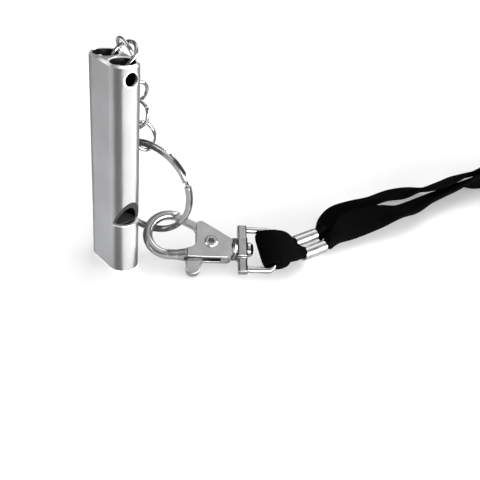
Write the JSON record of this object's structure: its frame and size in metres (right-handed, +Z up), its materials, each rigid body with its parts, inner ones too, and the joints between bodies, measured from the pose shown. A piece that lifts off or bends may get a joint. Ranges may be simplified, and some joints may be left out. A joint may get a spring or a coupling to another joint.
{
  "type": "survival whistle",
  "caption": "Twin-tube survival whistle with a jump-ring chain, split ring, swivel trigger hook and a flat neck lanyard.",
  "frame": {"origin": "centre of the whistle's mouth-end face, on the floor", "axes": "+Z up along the tubes, +X to the right and +Y to the back as the object stands"},
  "size_m": [0.2009, 0.1093, 0.0614],
  "materials": {
    "aluminium_body": "satin, bead blasted",
    "plug_plastic": "matte",
    "polished_nickel": "polished",
    "satin_zinc": "satin",
    "black_band": "matte, fine cross ribs"
  },
  "bodies": {
    "whistle": {"whistle_body": "aluminium_body", "windway_plug_left": "plug_plastic", "windway_plug_right": "plug_plastic", "stop_plug_left": "plug_plastic", "stop_plug_right": "plug_plastic"},
    "tail_ring": {"tail_ring": "polished_nickel"},
    "link_1": {"chain_link_1": "polished_nickel"},
    "link_2": {"chain_link_2": "polished_nickel"},
    "link_3": {"chain_link_3": "polished_nickel"},
    "link_4": {"chain_link_4": "polished_nickel"},
    "link_5": {"chain_link_5": "polished_nickel"},
    "split_ring": {"split_ring": "polished_nickel"},
    "hook": {"hook_body": "satin_zinc", "gate_rivet": "polished_nickel", "swivel_post": "polished_nickel"},
    "gate": {"hook_gate": "satin_zinc"},
    "eye": {"swivel_eye": "polished_nickel"},
    "lanyard": {"lanyard_loop": "black_band", "crimp_sleeve": "polished_nickel", "lanyard_strand_a": "black_band", "lanyard_strand_b": "black_band", "lanyard_coil": "black_band", "coil_tie": "black_band"}
  },
  "joints": [
    {"name": "tail_swing", "type": "hinge", "parent": "whistle", "child": "tail_ring", "pos_m": [0, 0, 0.0549], "axis": [0.6884, -0.7254, 0], "range_deg": [0, 30]},
    {"name": "link_1_swing", "type": "hinge", "parent": "tail_ring", "child": "link_1", "pos_m": [0.00111, 0.00511, 0.0597], "axis": [0.8179, -0.1283, 0.5609], "range_deg": [0, 30]},
    {"name": "link_2_swing", "type": "hinge", "parent": "link_1", "child": "link_2", "pos_m": [0.00284, 0.00675, 0.05409], "axis": [0.6401, -0.7678, -0.0273], "range_deg": [0, 30]},
    {"name": "link_3_swing", "type": "hinge", "parent": "link_2", "child": "link_3", "pos_m": [0.00416, 0.00814, 0.04819], "axis": [-0.0379, -0.9706, -0.2379], "range_deg": [0, 30]},
    {"name": "link_4_swing", "type": "hinge", "parent": "link_3", "child": "link_4", "pos_m": [0.00231, 0.0093, 0.04238], "axis": [0.6907, 0.7191, -0.0759], "range_deg": [0, 30]},
    {"name": "link_5_swing", "type": "hinge", "parent": "link_4", "child": "link_5", "pos_m": [0.00551, 0.00688, 0.03766], "axis": [0.805, -0.0826, 0.5875], "range_deg": [0, 30]},
    {"name": "split_ring_swing", "type": "hinge", "parent": "link_5", "child": "split_ring", "pos_m": [0.00786, 0.00471, 0.03235], "axis": [-0.6235, -0.7807, 0.0421], "range_deg": [-8, 25]},
    {"name": "hook_swing", "type": "hinge", "parent": "split_ring", "child": "hook", "pos_m": [0.01426, 0.00423, 0.00909], "axis": [0.7773, -0.361, 0.5153], "range_deg": [-12, 20]},
    {"name": "gate_swing", "type": "hinge", "parent": "hook", "child": "gate", "pos_m": [0.02646, 0.00181, 0.00654], "axis": [0.0738, -0.5248, 0.848], "range_deg": [0, 8], "stiffness_Nm_per_rad": 0.05, "springref_deg": -28.65},
    {"name": "eye_swivel", "type": "hinge", "parent": "hook", "child": "eye", "pos_m": [0.0266, 0.0008, 0.0059], "axis": [0.9903, 0.1392, 0], "continuous": true},
    {"name": "lanyard_swing", "type": "hinge", "parent": "eye", "child": "lanyard", "pos_m": [0.04393, 0.00324, 0.0059], "axis": [-0.118, 0.8398, 0.5299], "range_deg": [-20, 20]}
  ]
}
